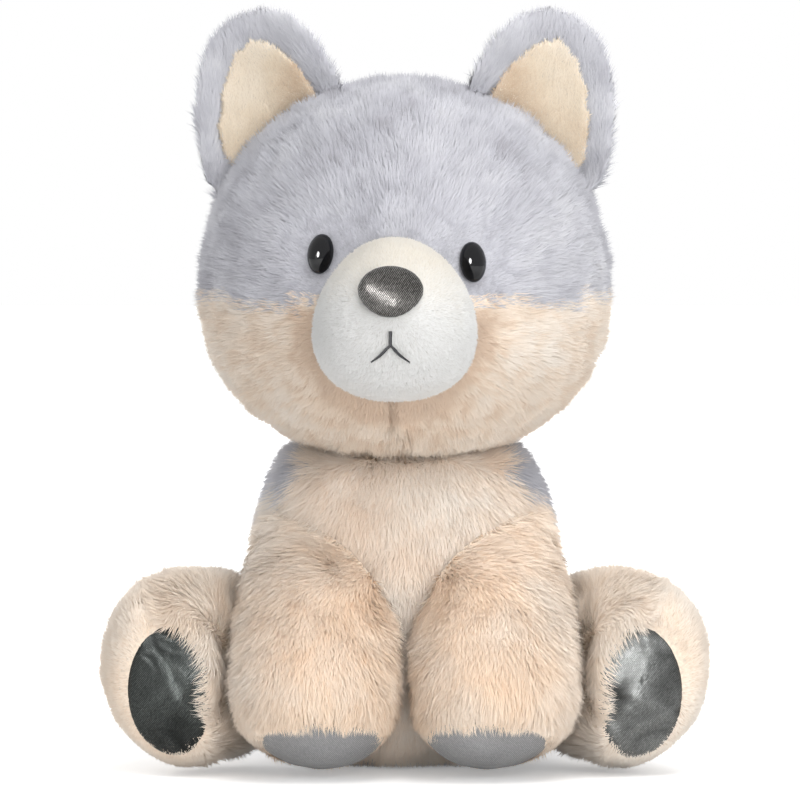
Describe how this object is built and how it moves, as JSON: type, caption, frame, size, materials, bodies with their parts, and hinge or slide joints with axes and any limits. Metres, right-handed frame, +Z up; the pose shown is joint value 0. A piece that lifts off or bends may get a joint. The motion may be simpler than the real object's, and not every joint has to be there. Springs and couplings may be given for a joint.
{
  "type": "plush wolf",
  "caption": "Sitting plush wolf with a large round head, a short muzzle, upright ears, soft paw pads and a tail.",
  "frame": {"origin": "on the floor, in the flat underside of the seat, midway between the hips and just in front of the seat's middle", "axes": "+Z up, -Y the way the body and the paws face, +X the toy's own left"},
  "size_m": [0.1586, 0.1749, 0.1979],
  "materials": {
    "grey_plush": "long brushed pile",
    "cream_plush": "long brushed pile",
    "white_velour": "short pile",
    "cream_velour": "short pile",
    "metallic_cloth": "metallic weave",
    "nose_cloth": "metallic weave",
    "black_plastic": "polished",
    "washer_plastic": "satin",
    "thread": "satin stitch",
    "fibre": "loose fibre"
  },
  "bodies": {
    "root": {"head_crown_cover": "grey_plush", "ear_cover_left": "grey_plush", "ear_cover_right": "grey_plush", "body_back_cover": "grey_plush", "tail_cover": "grey_plush", "head_cheek_cover_left": "cream_plush", "head_cheek_cover_right": "cream_plush", "body_chest_cover": "cream_plush", "front_leg_left_cover": "cream_plush", "front_leg_right_cover": "cream_plush", "hind_leg_left_cover": "cream_plush", "hind_leg_right_cover": "cream_plush", "tail_tip_cover": "cream_plush", "muzzle_cover": "white_velour", "ear_lining_left": "cream_velour", "ear_lining_right": "cream_velour", "front_paw_pad_left": "metallic_cloth", "front_paw_pad_right": "metallic_cloth", "hind_paw_pad_left": "metallic_cloth", "hind_paw_pad_right": "metallic_cloth", "nose": "nose_cloth", "eye_left": "black_plastic", "eye_right": "black_plastic", "eye_washer_left": "washer_plastic", "eye_washer_right": "washer_plastic", "mouth_stitches": "thread", "head_filling": "fibre", "muzzle_filling": "fibre", "body_filling": "fibre", "front_leg_left_filling": "fibre", "front_leg_right_filling": "fibre", "hind_leg_left_filling": "fibre", "hind_leg_right_filling": "fibre", "tail_filling": "fibre"}
  },
  "joints": []
}
